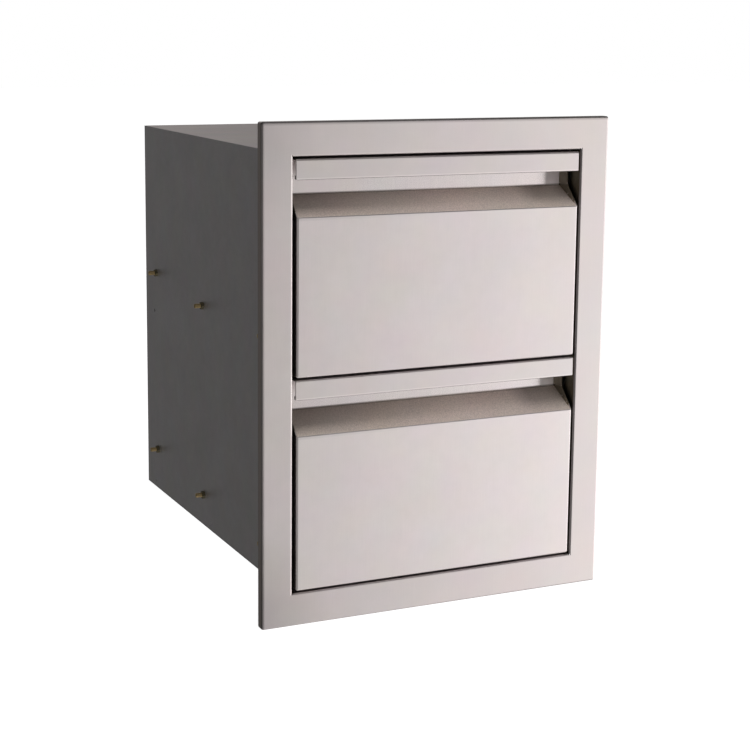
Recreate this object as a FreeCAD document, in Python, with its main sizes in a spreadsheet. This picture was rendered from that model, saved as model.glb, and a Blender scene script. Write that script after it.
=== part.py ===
"""Outdoor kitchen drawer unit: a framed cabinet with two sliding drawers.

Millimetres. X runs to the right, Y to the back and Z up. The origin lies in the
plane where the frame's rolled lip seats on the island's front, on the centre line,
halfway up the lip's lower seat strip.
"""
import FreeCAD, Part
import os
import re
import Sketcher

V = FreeCAD.Vector

SIZES = {
    # Face frame
    "flange_wide": 431.8,
    "flange_tall": 561.3,
    "frame_sheet": 1.0,
    "lip_deep": 12.8,
    "lip_return": 8.0,
    "lip_bend": 2.0,
    "frame_corner": 2.4,
    "margin_side": 36.5,
    "margin_top": 37.7,
    "margin_low": 37.7,
    "rim_deep": 22.0,
    "rim_bend": 2.5,
    "corner_slit": 0.7,
    "corner_slit_reach": 1.6,
    # Cabinet
    "case_sheet": 0.9,
    "case_spare": 18.7,
    "case_clear": 1.6,
    "case_flange": 12.0,
    "case_bend": 1.4,
    "flange_relief": 4.0,
    "vent_bore": 4.0,
    "vent_rear": 36.0,
    "vent_middle": 260.0,
    "vent_low": 8.0,
    "vent_high": 243.5,
    # Drawer fronts
    "front_sheet": 0.9,
    "front_proud": 2.0,
    "gap_top": 2.5,
    "gap_middle": 2.8,
    "gap_low": 3.0,
    "face_gap": 3.7,
    "visor_gap": 2.9,
    "visor_setback": 1.5,
    "visor_tall": 22.5,
    "visor_bend": 2.2,
    "visor_edge": 0.7,
    "visor_corner": 2.0,
    "hem_deep": 4.0,
    "hem_tall": 4.8,
    "hem_bend": 1.3,
    "pull_deep": 41.0,
    "pull_tall": 41.5,
    "slope_drop": 21.2,
    "face_bend": 2.0,
    "cheek_deep": 23.0,
    "cheek_drop": 38.8,
    "cheek_round": 3.0,
    "foot_tall": 30.0,
    # Drawer boxes
    "box_sheet": 0.9,
    "box_lift": 11.0,
    "box_tall": 176.0,
    "box_hem": 8.0,
    "box_flange": 12.0,
    "liner_hem": 9.0,
    "box_bend": 1.4,
    # Ball bearing slides
    "slide_thick": 12.7,
    "slide_tall": 45.7,
    "slide_long": 457.0,
    "slide_setback": 5.0,
    "slide_lift": 42.7,
    "slide_sheet": 1.2,
    "stage_sheet": 1.0,
    "stage_inset": 2.0,
    "stage_short": 17.0,
    "ball_wide": 2.9,
    "ball_play": 0.25,
    "ball_grip": 0.2,
    "cage_sheet": 0.7,
    "cage_arm": 0.8,
    "cage_long": 200.0,
    "cage_end": 16.0,
    "race_reach": 8.9,
    "race_lip": 1.9,
    "outer_play": 1.4,
    "stage_play": 0.6,
    "buffer_tall": 14.0,
    "buffer_drop": 1.0,
    "buffer_thick": 7.0,
    "lever_long": 62.0,
    "lever_tall": 11.0,
    "lever_thick": 1.8,
    # Fasteners
    "bolt_wide": 6.0,
    "bolt_play": 0.25,
    "bolt_head": 10.0,
    "bolt_head_tall": 1.0,
    "bolt_out": 11.5,
    "bolt_first": 28.0,
    "bolt_centre": 212.7,
    "bolt_rear": 27.7,
    "bolt_offset": 7.6,
    "nut_flats": 9.4,
    "nut_thick": 3.6,
    "nut_play": 0.05,
    "screw_wide": 4.0,
    "screw_play": 0.2,
    "screw_head": 7.5,
    "screw_head_tall": 1.8,
    "screw_out": 3.5,
    "front_screw_side": 120.0,
    "front_screw_lift": 22.0,
}

BALLS_PER_ROW = 4

# Lengths that follow from the driving sizes, as expressions of their names
DERIVED = {
    "frame_half": "flange_wide / 2",
    "frame_front": "-lip_deep",
    "open_half": "frame_half - margin_side",
    "frame_low": "-lip_return / 2",
    "frame_high": "frame_low + flange_tall",
    "open_low": "frame_low + margin_low",
    "open_high": "frame_high - margin_top",
    "rim_back": "frame_front + rim_deep",
    "case_half": "open_half + frame_sheet",
    "case_low": "open_low - frame_sheet",
    "case_high": "open_high + frame_sheet",
    "case_front": "frame_front + frame_sheet + case_clear",
    "face_plane": "frame_front - front_proud",
    "visor_plane": "face_plane + visor_setback",
    "pull_back": "face_plane + pull_deep",
    "front_back": "pull_back + front_sheet",
    "front_tall": "(open_high - open_low - gap_top - gap_middle - gap_low) / 2",
    "face_half": "open_half - face_gap",
    "visor_half": "open_half - visor_gap",
    "slope_cast": "sqrt(pull_deep ^ 2 + slope_drop ^ 2) / pull_deep",
    "slope_under": "front_sheet * (slope_drop / pull_deep - slope_cast)",
    "face_tall": "front_tall - pull_tall - slope_drop",
    "pull_floor": "front_tall - pull_tall",
    "box_half": "case_half - slide_thick",
    "box_front": "front_back + 0.1 * front_sheet",
    "box_top": "box_lift + box_tall",
    "slide_front": "box_front + slide_setback",
    "slide_back": "slide_front + slide_long",
    "box_back": "slide_back",
    "case_deep": "slide_back + case_spare",
    "stage_long": "slide_long - stage_short",
    "stage_web": "slide_sheet + outer_play + cage_sheet + stage_play",
    "inner_cage_web": "stage_web + stage_sheet + stage_play",
    "outer_race": "slide_tall / 2 - slide_sheet",
    "outer_ball_row": "outer_race - ball_play - ball_wide / 2",
    "stage_wall": "outer_ball_row - ball_wide / 2 - ball_play",
    "inner_ball_row": "stage_wall - stage_sheet - ball_play - ball_wide / 2",
    "runner_wall": "inner_ball_row - ball_wide / 2 - ball_play",
    "outer_ball_out": "stage_web + stage_sheet + ball_wide / 2 + ball_play",
    "inner_ball_out": "inner_cage_web + cage_sheet + ball_wide / 2 + ball_play",
    "runner_web": "slide_thick - slide_sheet",
    "cage_front": "stage_inset + (stage_long - cage_long) / 2",
}

LOWER_LIFT = "open_low + gap_low"
UPPER_LIFT = "open_low + gap_low + front_tall + gap_middle"
LEVELS = {"lower": LOWER_LIFT, "upper": UPPER_LIFT}
SIDES = {"left": -1, "right": 1}

doc = FreeCAD.newDocument("DrawerUnit")
sheet = doc.addObject("Spreadsheet::Sheet", "Sizes")
parts = []


def fill_sheet():
    """Write each driving dimension to a cell of its own, with its name as alias."""
    for row, (name, number) in enumerate(SIZES.items(), start=1):
        sheet.set(f"A{row}", name)
        sheet.set(f"B{row}", str(number))
        sheet.setAlias(f"B{row}", name)
    doc.recompute()


def bound(text):
    """Turn an expression in plain names into one that reads the sheet's cells."""
    def swap(match):
        word = match.group(0)
        if word in DERIVED:
            return "(" + bound(DERIVED[word]) + ")"
        return "Sizes." + word if word in SIZES else word
    return re.sub(r"[a-z][a-z_]*", swap, str(text))


def value(text):
    """The number that an expression gives now."""
    return float(sheet.evalExpression(bound(text)))


class Piece:
    """One sheet or turned piece: a body with sketches, pads, pockets and bends."""

    PLANES = {"X": "YZ_Plane", "Y": "XZ_Plane", "Z": "XY_Plane"}

    def __init__(self, label):
        self.label = label
        self.body = doc.addObject("PartDesign::Body", "Body_" + label)
        self.body.Label = label

    def sketch(self, axis, level, outlines, circles=()):
        """A closed profile square to an axis, at a level along it.

        Each outline is a list of corners and each circle is (u, v, radius), all as
        expressions. Corners are (Y, Z), (X, Z) or (X, Y) for the axis X, Y or Z.
        """
        profile = self.body.newObject("Sketcher::SketchObject", "Profile")
        role = self.PLANES[axis]
        plane = next(f for f in self.body.Origin.OriginFeatures if f.Role == role)
        profile.AttachmentSupport = [(plane, "")]
        profile.MapMode = "FlatFace"
        sign = "-1 * " if axis == "Y" else ""
        profile.setExpression("AttachmentOffset.Base.z", sign + "(" + bound(level) + ")")
        for corners in outlines:
            self.draw_outline(profile, corners)
        for across, up, radius in circles:
            self.draw_circle(profile, across, up, radius)
        return profile

    def draw_outline(self, profile, corners):
        """Straight lines through the corners, each corner held by its two distances."""
        places = [V(value(across), value(up), 0) for across, up in corners]
        first = profile.GeometryCount
        count = len(places)
        for index, place in enumerate(places):
            profile.addGeometry(Part.LineSegment(place, places[(index + 1) % count]), False)
        for index in range(count):
            after = first + (index + 1) % count
            profile.addConstraint(Sketcher.Constraint("Coincident", first + index, 2, after, 1))
        for index, (across, up) in enumerate(corners):
            self.hold(profile, first + index, 1, across, up)

    def draw_circle(self, profile, across, up, radius):
        """A circle held by its centre and radius."""
        centre = V(value(across), value(up), 0)
        index = profile.addGeometry(Part.Circle(centre, V(0, 0, 1), value(radius)), False)
        self.hold(profile, index, 3, across, up)
        rule = profile.addConstraint(Sketcher.Constraint("Radius", index, value(radius)))
        profile.setExpression(f"Constraints[{rule}]", bound(radius))

    def hold(self, profile, index, point, across, up):
        """Place one point of a profile by expressions."""
        for kind, text in (("DistanceX", across), ("DistanceY", up)):
            rule = profile.addConstraint(Sketcher.Constraint(kind, -1, 1, index, point, value(text)))
            profile.setExpression(f"Constraints[{rule}]", bound(text))

    def pad(self, axis, start, end, outlines, circles=()):
        """Fill a profile from one level to another along the axis."""
        level = end if axis == "Y" else start
        profile = self.sketch(axis, level, outlines, circles)
        feature = self.body.newObject("PartDesign::Pad", "Pad")
        feature.Profile = profile
        feature.setExpression("Length", bound(f"({end}) - ({start})"))
        self.check(feature)
        return self

    def pocket(self, axis, start, end, outlines, circles=()):
        """Cut a profile from one level to another along the axis."""
        before = self.body.Shape.Volume
        level = start if axis == "Y" else end
        profile = self.sketch(axis, level, outlines, circles)
        feature = self.body.newObject("PartDesign::Pocket", "Pocket")
        feature.Profile = profile
        feature.setExpression("Length", bound(f"({end}) - ({start})"))
        self.check(feature)
        if not self.body.Shape.Volume < before:
            raise RuntimeError("A cut in " + self.label + " removes nothing")
        return self

    def bend(self, radius, chosen):
        """Round the edges that the test picks, as a sheet's bend does."""
        base = self.body.Tip
        names = [
            f"Edge{number}"
            for number, edge in enumerate(base.Shape.Edges, start=1)
            if chosen(edge.BoundBox)
        ]
        if not names:
            raise RuntimeError("No edge to bend in " + self.label)
        feature = self.body.newObject("PartDesign::Fillet", "Bend")
        feature.Base = (base, names)
        feature.setExpression("Radius", bound(radius))
        self.check(feature)
        return self

    def check(self, feature):
        """Recompute, and stop where the new feature failed."""
        doc.recompute()
        if {"Invalid", "Error"} & set(feature.State):
            raise RuntimeError(f"{feature.Name} failed in {self.label}")

    def place(self, across="0", back="0", up="0"):
        """Set where the piece stands."""
        for axis, text in (("x", across), ("y", back), ("z", up)):
            self.body.setExpression(f"Placement.Base.{axis}", bound(text))
        return self

    def keep(self):
        """Count the piece as a sub-part of its own."""
        parts.append(self.body)
        return self.body


def box(left, low, right, high):
    """The four corners of a rectangle."""
    return [(left, low), (right, low), (right, high), (left, high)]


def even_box(half, low, high):
    """A rectangle centred across the unit."""
    return box(f"-({half})", low, half, high)


def along(axis, **levels):
    """A test for straight edges along an axis, through the given levels."""
    numbers = {name: value(text) for name, text in levels.items()}

    def chosen(limits):
        ends = {
            "x": (limits.XMin, limits.XMax),
            "y": (limits.YMin, limits.YMax),
            "z": (limits.ZMin, limits.ZMax),
        }
        if ends[axis][1] - ends[axis][0] < 0.5:
            return False
        return all(max(abs(end - number) for end in ends[name]) < 0.01 for name, number in numbers.items())
    return chosen


def any_of(*tests):
    """A test that passes where one of the given tests does."""
    return lambda limits: any(test(limits) for test in tests)


def group(label, members):
    """One sub-part made of separate solids."""
    compound = doc.addObject("Part::Compound", "Group_" + label)
    compound.Label = label
    compound.Links = members
    doc.recompute()
    parts.append(compound)
    return compound


def outline_test(plane_y, half, low, high):
    """A test for the edges of a rectangle that lies in a plane of constant Y, corners too."""
    depth = value(plane_y)
    side, bottom, top = value(half), value(low), value(high)
    near = 0.01

    def chosen(limits):
        if abs(limits.YMin - depth) > near or abs(limits.YMax - depth) > near:
            return False
        on_side = abs(abs(limits.XMin) - side) < near or abs(abs(limits.XMax) - side) < near
        on_end = abs(limits.ZMin - bottom) < near or abs(limits.ZMax - top) < near
        inside = limits.XMax < side + near and limits.XMin > -side - near
        level = limits.ZMin > bottom - near and limits.ZMax < top + near
        return (on_side or on_end) and inside and level
    return chosen


def face_frame():
    """The picture frame: a flat face, a rolled lip outside and a return into the opening."""
    frame = Piece("face_frame")
    outer = even_box("frame_half", "frame_low", "frame_high")
    lip = even_box("frame_half - frame_sheet", "frame_low + frame_sheet", "frame_high - frame_sheet")
    seat = even_box("frame_half - lip_return", "frame_low + lip_return", "frame_high - lip_return")
    opening = even_box("open_half", "open_low", "open_high")
    rim = even_box("case_half", "case_low", "case_high")
    frame.pad("Y", "frame_front", "0", [outer, opening])
    frame.bend("frame_corner", any_of(*(
        along("y", x=across, z=up)
        for across in ("-(frame_half)", "frame_half")
        for up in ("frame_low", "frame_high")
    )))
    frame.bend("lip_bend", any_of(
        outline_test("frame_front", "frame_half", "frame_low", "frame_high"),
        outline_test("0", "frame_half", "frame_low", "frame_high"),
    ))
    frame.pad("Y", "frame_front", "rim_back", [rim, opening])
    frame.bend("rim_bend", outline_test("frame_front", "open_half", "open_low", "open_high"))
    frame.pocket("Y", "frame_front + frame_sheet", "-frame_sheet", [lip, rim])
    frame.pocket("Y", "-frame_sheet", "0", [seat, rim])
    slits = [corner_slit(across, up) for across in (-1, 1) for up in (-1, 1)]
    frame.pocket("Y", "frame_front", "frame_front + rim_bend", slits)
    return frame.keep()


def corner_slit(across, up):
    """The thin slit that the fold leaves past one corner of the opening, on the diagonal."""
    level = "open_high" if up > 0 else "open_low"
    corner = (f"{across} * open_half", level)
    near, far = "corner_slit / sqrt(2)", "corner_slit_reach"
    points = [(f"-{near}", near), (near, f"-{near}"), (f"{far} + {near} / 2", f"{far} - {near} / 2"),
              (f"{far} - {near} / 2", f"{far} + {near} / 2")]
    return [(f"{corner[0]} + {across} * ({out})", f"{corner[1]} + {up} * ({rise})") for out, rise in points]


def slide_bolt_spots():
    """Where bolts hold a slide's outer channel: (distance along it, height from its middle)."""
    return [
        ("bolt_first", "-bolt_offset"),
        ("slide_long - bolt_centre", "-bolt_offset"),
        ("slide_long - bolt_rear", "bolt_offset"),
    ]


def cabinet_side(name, side):
    """One side wall, with the holes for the slide bolts and three small fixing holes."""
    wall = Piece("cabinet_side_" + name)
    near, far = ("case_half", "case_half + case_sheet")
    start, end = (near, far) if side > 0 else (f"-({far})", f"-({near})")
    plate = box("case_front", "case_low - case_sheet", "case_deep", "case_high + case_sheet")
    wall.pad("X", start, end, [plate])
    holes = [
        (f"slide_front + {distance}", f"{lift} + slide_lift + {height}", "bolt_wide / 2 + bolt_play")
        for lift in LEVELS.values()
        for distance, height in slide_bolt_spots()
    ]
    holes += [
        ("case_deep - vent_rear", "case_low + vent_high", "vent_bore / 2"),
        ("case_deep - vent_rear", "case_low + vent_low", "vent_bore / 2"),
        ("case_deep - vent_middle", "case_low + vent_low", "vent_bore / 2"),
    ]
    wall.pocket("X", start, end, [], holes)
    return wall.keep()


def cabinet_cover(name, level, outward):
    """The top or bottom wall, with side flanges folded inwards along the side walls."""
    cover = Piece("cabinet_" + name)
    low, high = (level, f"{level} + case_sheet") if outward > 0 else (f"{level} - case_sheet", level)
    cover.pad("Z", low, high, [even_box("case_half", "case_front", "case_deep")])
    start = "rim_back + flange_relief"
    end = "case_deep - case_flange - flange_relief"
    tip = f"{level} - {outward} * case_flange"
    bottom, top = (tip, level) if outward > 0 else (level, tip)
    for side in (-1, 1):
        edges = sorted((f"{side} * (case_half - case_sheet)", f"{side} * case_half"), key=value)
        cover.pad("Z", bottom, top, [box(edges[0], start, edges[1], end)])
    skin = high if outward > 0 else low
    cover.bend("case_bend", any_of(
        along("y", x="case_half", z=skin),
        along("y", x="-(case_half)", z=skin),
    ))
    return cover.keep()


def cabinet_back():
    """The rear wall: a shallow pan whose rim lies against the other walls."""
    back = Piece("cabinet_back")
    back.pad("Y", "case_deep - case_flange", "case_deep", [even_box("case_half", "case_low", "case_high")])
    inside = even_box("case_half - case_sheet", "case_low + case_sheet", "case_high - case_sheet")
    back.bend("case_bend", outline_test("case_deep", "case_half", "case_low", "case_high"))
    back.pocket("Y", "case_deep - case_flange", "case_deep - case_sheet", [inside])
    return back.keep()


def drawer_front(level, lift):
    """A front folded from one sheet: hem, visor, finger pull, slope, face, foot and cheeks."""
    front = Piece(f"drawer_front_{level}")
    skin = [
        ("face_plane", "0"),
        ("face_plane", "face_tall"),
        ("pull_back", "pull_floor"),
        ("front_back", "pull_floor"),
        ("front_back", "0"),
    ]
    front.pad("X", "-(face_half)", "face_half", [skin])
    front.bend("face_bend", any_of(
        along("z", x="face_half", y="face_plane"),
        along("z", x="-(face_half)", y="face_plane"),
        along("x", y="face_plane", z="0"),
        along("x", y="face_plane", z="face_tall"),
        along("y", x="face_half", z="0"),
        along("y", x="-(face_half)", z="0"),
    ))
    hollow = [
        ("face_plane + front_sheet", "front_sheet"),
        ("face_plane + front_sheet", "face_tall + slope_under"),
        ("pull_back", "pull_floor - front_sheet * slope_cast"),
        ("front_back", "pull_floor - front_sheet * slope_cast"),
        ("front_back", "foot_tall"),
        ("pull_back", "foot_tall"),
        ("pull_back", "front_sheet"),
    ]
    front.pocket("X", "-(face_half) + front_sheet", "face_half - front_sheet", [hollow])
    hood = [
        ("visor_plane", "front_tall - visor_tall"),
        ("visor_plane + hem_deep", "front_tall - visor_tall"),
        ("visor_plane + hem_deep", "front_tall - visor_tall + hem_tall"),
        ("visor_plane + hem_deep - front_sheet", "front_tall - visor_tall + hem_tall"),
        ("visor_plane + hem_deep - front_sheet", "front_tall - visor_tall + front_sheet"),
        ("visor_plane + front_sheet", "front_tall - visor_tall + front_sheet"),
        ("visor_plane + front_sheet", "front_tall - front_sheet"),
        ("pull_back", "front_tall - front_sheet"),
        ("pull_back", "pull_floor - front_sheet"),
        ("front_back", "pull_floor - front_sheet"),
        ("front_back", "front_tall"),
        ("visor_plane", "front_tall"),
    ]
    front.pad("X", "-(visor_half)", "visor_half", [hood])
    front.bend("visor_bend", along("x", y="visor_plane", z="front_tall"))
    front.bend("visor_bend - front_sheet", along("x", y="visor_plane + front_sheet", z="front_tall - front_sheet"))
    front.bend("hem_bend", any_of(
        along("x", y="visor_plane", z="front_tall - visor_tall"),
        along("x", y="visor_plane + hem_deep", z="front_tall - visor_tall"),
    ))
    front.bend("visor_edge", any_of(
        along("z", x="visor_half", y="visor_plane"),
        along("z", x="-(visor_half)", y="visor_plane"),
    ))
    front.pocket("Y", "visor_plane", "visor_plane + hem_deep", [visor_corner(-1), visor_corner(1)])
    cheek = [
        ("face_plane + face_bend", "face_tall"),
        ("face_plane + face_bend", "face_tall + face_bend * slope_drop / pull_deep"),
        ("face_plane + cheek_deep", "front_tall - cheek_drop"),
        ("face_plane + cheek_deep", "front_tall - front_sheet"),
        ("front_back", "front_tall - front_sheet"),
        ("front_back", "face_tall"),
    ]
    front.pad("X", "-(face_half)", "-(face_half) + front_sheet", [cheek])
    front.pad("X", "face_half - front_sheet", "face_half", [cheek])
    front.bend("cheek_round", along("x", y="face_plane + cheek_deep", z="front_tall - cheek_drop"))
    holes = [(across, "front_screw_lift", "screw_wide / 2 + screw_play") for across in front_screw_spots()]
    front.pocket("Y", "pull_back", "front_back", [], holes)
    front.place(up=lift)
    return front.keep()


def visor_corner(side):
    """What is cut away to round one lower corner of the visor."""
    points = [("0", "0"), ("0", "1"), ("0.134", "0.5"), ("0.5", "0.134"), ("1", "0")]
    return [
        (f"{side} * (visor_half - visor_corner * {out})", f"front_tall - visor_tall + visor_corner * {up}")
        for out, up in points
    ]


def front_screw_spots():
    """Where screws hold a front to its box, across the unit."""
    return ["-front_screw_side", "-front_screw_side / 3", "front_screw_side / 3", "front_screw_side"]


def runner_screw_spots():
    """Where screws hold a slide's inner channel to the box, along the slide."""
    return ["stage_inset + bolt_first", "stage_inset + stage_long / 2", "stage_inset + stage_long - bolt_first"]


def drawer_tub(level, lift):
    """The bottom and both sides of a drawer box, folded from one sheet."""
    tub = Piece(f"drawer_tub_{level}")
    profile = [
        ("-(box_half)", "box_lift"),
        ("box_half", "box_lift"),
        ("box_half", "box_top"),
        ("box_half - box_hem", "box_top"),
        ("box_half - box_hem", "box_top - box_sheet"),
        ("box_half - box_sheet", "box_top - box_sheet"),
        ("box_half - box_sheet", "box_lift + box_sheet"),
        ("-(box_half) + box_sheet", "box_lift + box_sheet"),
        ("-(box_half) + box_sheet", "box_top - box_sheet"),
        ("-(box_half) + box_hem", "box_top - box_sheet"),
        ("-(box_half) + box_hem", "box_top"),
        ("-(box_half)", "box_top"),
    ]
    tub.pad("Y", "box_front", "box_back", [profile])
    tub.bend("box_bend", any_of(*(
        along("y", x=across, z=up) for across in ("-(box_half)", "box_half") for up in ("box_lift", "box_top")
    )))
    holes = [
        (f"slide_front + {distance}", "slide_lift", "screw_wide / 2 + screw_play")
        for distance in runner_screw_spots()
    ]
    tub.pocket("X", "box_half - box_sheet", "box_half", [], holes)
    tub.pocket("X", "-(box_half)", "-(box_half) + box_sheet", [], holes)
    tub.place(up=lift)
    return tub.keep()


def drawer_liner(level, lift):
    """The front wall of a drawer box: a flat sheet with a hemmed top, welded between the tub's sides."""
    liner = Piece(f"drawer_liner_{level}")
    wall = [
        ("box_front", "box_lift + box_sheet"),
        ("box_front + box_sheet", "box_lift + box_sheet"),
        ("box_front + box_sheet", "box_top - box_sheet - liner_hem"),
        ("box_front + 2 * box_sheet", "box_top - box_sheet - liner_hem"),
        ("box_front + 2 * box_sheet", "box_top - box_sheet"),
        ("box_front", "box_top - box_sheet"),
    ]
    liner.pad("X", "-(box_half) + box_sheet", "box_half - box_sheet", [wall])
    holes = [(across, "front_screw_lift", "screw_wide / 2 + screw_play") for across in front_screw_spots()]
    liner.pocket("Y", "box_front", "box_front + box_sheet", [], holes)
    liner.place(up=lift)
    return liner.keep()


def drawer_back(level, lift):
    """The back wall of a drawer box: a pan between the tub's sides, open towards the front."""
    pan = Piece(f"drawer_back_{level}")
    low, high = ("box_lift + box_sheet", "box_top - box_sheet")
    pan.pad("Y", "box_back - box_flange", "box_back", [even_box("box_half - box_sheet", low, high)])
    inside = even_box("box_half - 2 * box_sheet", f"{low} + box_sheet", high)
    pan.pocket("Y", "box_back - box_flange", "box_back - box_sheet", [inside])
    pan.place(up=lift)
    return pan.keep()


def drawer_box(level, lift):
    """The tub, the liner behind the front and the back wall of one drawer."""
    drawer_tub(level, lift)
    drawer_liner(level, lift)
    drawer_back(level, lift)


def channel(label, side, outline, start, end, holes=()):
    """A length of rolled channel on one side, with holes through its web.

    The outline's first number runs from the cabinet wall towards the drawer.
    """
    member = Piece(label)
    profile = [(f"{-side} * ({out})", up) for out, up in outline]
    member.pad("Y", start, end, [profile])
    for web, thick, spots in holes:
        edges = sorted((f"{-side} * ({web})", f"{-side} * ({web} + {thick})"), key=value)
        member.pocket("X", edges[0], edges[1], [], spots)
    return member


def seat_slide(member, side, lift):
    """Stand a slide's piece against the cabinet wall at its drawer's level."""
    return member.place(f"{side} * case_half", "slide_front", f"{lift} + slide_lift")


def mirrored(points):
    """An outline above the middle, completed with its mirror image below."""
    return points + [(out, f"-({up})") for out, up in reversed(points)]


def outer_channel(name, side, lift):
    """The slide's fixed channel, whose rolled edges hold the outer rows of balls."""
    outline = mirrored([
        ("slide_sheet", "outer_race"),
        ("race_reach", "outer_race"),
        ("race_reach", "outer_race - race_lip + slide_sheet"),
        ("race_reach + slide_sheet", "outer_race - race_lip + slide_sheet"),
        ("race_reach + slide_sheet", "slide_tall / 2"),
        ("0", "slide_tall / 2"),
    ])
    holes = [(distance, height, "bolt_wide / 2 + bolt_play") for distance, height in slide_bolt_spots()]
    member = channel("slide_outer_" + name, side, outline, "0", "slide_long", [("0", "slide_sheet", holes)])
    seat_slide(member, side, lift)
    return member.keep()


def middle_channel(name, side, lift):
    """The slide's middle channel, between the outer and the inner rows of balls."""
    outline = mirrored([
        ("stage_web + stage_sheet", "stage_wall - stage_sheet"),
        ("inner_ball_out + ball_wide / 2 + ball_play", "stage_wall - stage_sheet"),
        ("inner_ball_out + ball_wide / 2 + ball_play", "stage_wall"),
        ("stage_web", "stage_wall"),
    ])
    member = channel("slide_middle_" + name, side, outline, "stage_inset", "stage_inset + stage_long")
    seat_slide(member, side, lift)
    return member.keep()


def runner(name, side, lift):
    """The slide's inner channel, screwed to the drawer box."""
    outline = mirrored([
        ("runner_web", "runner_wall - slide_sheet"),
        ("inner_ball_out - ball_wide / 2", "runner_wall - slide_sheet"),
        ("inner_ball_out - ball_wide / 2", "runner_wall"),
        ("slide_thick", "runner_wall"),
    ])
    holes = [(distance, "0", "screw_wide / 2 + screw_play") for distance in runner_screw_spots()]
    spots = [("runner_web", "slide_sheet", holes)]
    member = channel("slide_runner_" + name, side, outline, "stage_inset", "stage_inset + stage_long", spots)
    seat_slide(member, side, lift)
    return member.keep()


def ball_cage(label, side, lift, web, row, ball_out):
    """A strip that spaces two rows of balls, with its balls."""
    outline = mirrored([
        (f"{web} + cage_sheet", f"{row} - cage_arm / 2"),
        (f"{ball_out} + ball_wide / 2", f"{row} - cage_arm / 2"),
        (f"{ball_out} + ball_wide / 2", f"{row} + cage_arm / 2"),
        (web, f"{row} + cage_arm / 2"),
    ])
    pitch = f"(cage_long - 2 * cage_end) / {BALLS_PER_ROW - 1}"
    spots = [f"cage_front + cage_end + {index} * {pitch}" for index in range(BALLS_PER_ROW)]
    strip = channel(label + "_strip", side, outline, "cage_front", "cage_front + cage_long")
    holes = [(f"{-side} * ({ball_out})", spot, "ball_wide / 2 + ball_grip") for spot in spots]
    reach = f"{row} + cage_arm"
    strip.pocket("Z", f"-({reach})", f"-({row}) + cage_arm", [], holes)
    strip.pocket("Z", f"{row} - cage_arm", reach, [], holes)
    seat_slide(strip, side, lift)
    members = [strip.body]
    for spot in spots:
        for sign in (-1, 1):
            ball = doc.addObject("Part::Sphere", "Ball_" + label)
            ball.setExpression("Radius", bound("ball_wide / 2"))
            place_solid(ball, (
                f"{side} * (case_half - ({ball_out}))",
                f"slide_front + {spot}",
                f"{lift} + slide_lift + {sign} * ({row})",
            ))
            members.append(ball)
    return group(label, members)


def place_solid(solid, spot):
    """Set a solid's place by expressions."""
    for axis, text in zip("xyz", spot):
        solid.setExpression(f"Placement.Base.{axis}", bound(text))


def fastener(label, axis, sign, spot, shank, head):
    """A pan head screw: (radius, start, end) of its shank and head, along an axis."""
    screw = Piece(label)
    for radius, start, end in (shank, head):
        ends = sorted((f"{sign} * ({start})", f"{sign} * ({end})"), key=value)
        screw.pad(axis, ends[0], ends[1], [], [("0", "0", radius)])
    screw.place(*spot)
    return screw.body


def slide_bolts(name, side):
    """The bolts that hold both slides of one side to the cabinet, and their nuts."""
    bolts = []
    nuts = []
    for level, lift in LEVELS.items():
        for number, (distance, height) in enumerate(slide_bolt_spots(), start=1):
            spot = (f"{side} * case_half", f"slide_front + {distance}", f"{lift} + slide_lift + {height}")
            code = f"{name}_{level}_{number}"
            shank = ("bolt_wide / 2", "-slide_sheet", "case_sheet + bolt_out")
            head = ("bolt_head / 2", "-slide_sheet - bolt_head_tall", "-slide_sheet")
            bolts.append(fastener("bolt_" + code, "X", side, spot, shank, head))
            nuts.append(nut("nut_" + code, side, spot))
    group("slide_bolts_" + name, bolts)
    group("slide_nuts_" + name, nuts)


def nut(label, side, spot):
    """A hexagon nut against the outside of a cabinet wall."""
    piece = Piece(label)
    half = "nut_flats / 2"
    corner = "nut_flats / sqrt(3)"
    hexagon = [
        (corner, "0"),
        (f"{corner} / 2", half),
        (f"-{corner} / 2", half),
        (f"-{corner}", "0"),
        (f"-{corner} / 2", f"-{half}"),
        (f"{corner} / 2", f"-{half}"),
    ]
    ends = sorted((f"{side} * case_sheet", f"{side} * (case_sheet + nut_thick)"), key=value)
    piece.pad("X", ends[0], ends[1], [hexagon], [("0", "0", "bolt_wide / 2 + nut_play")])
    piece.place(*spot)
    return piece.body


def drawer_screws(level, lift):
    """The screws that hold the runners and the front to one drawer box."""
    holds = []
    for side in SIDES.values():
        for number, distance in enumerate(runner_screw_spots(), start=1):
            spot = (f"{side} * box_half", f"slide_front + {distance}", f"{lift} + slide_lift")
            shank = ("screw_wide / 2", "-(box_sheet + screw_out)", "slide_sheet")
            head = ("screw_head / 2", "slide_sheet", "slide_sheet + screw_head_tall")
            holds.append(fastener(f"hold_{level}_{side + 1}_{number}", "X", side, spot, shank, head))
    group("runner_screws_" + level, holds)
    ties = []
    for number, across in enumerate(front_screw_spots(), start=1):
        spot = (across, "box_front", f"{lift} + front_screw_lift")
        shank = ("screw_wide / 2", "-screw_out", "box_sheet")
        head = ("screw_head / 2", "box_sheet", "box_sheet + screw_head_tall")
        ties.append(fastener(f"tie_{level}_{number}", "Y", 1, spot, shank, head))
    group("front_screws_" + level, ties)


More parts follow.
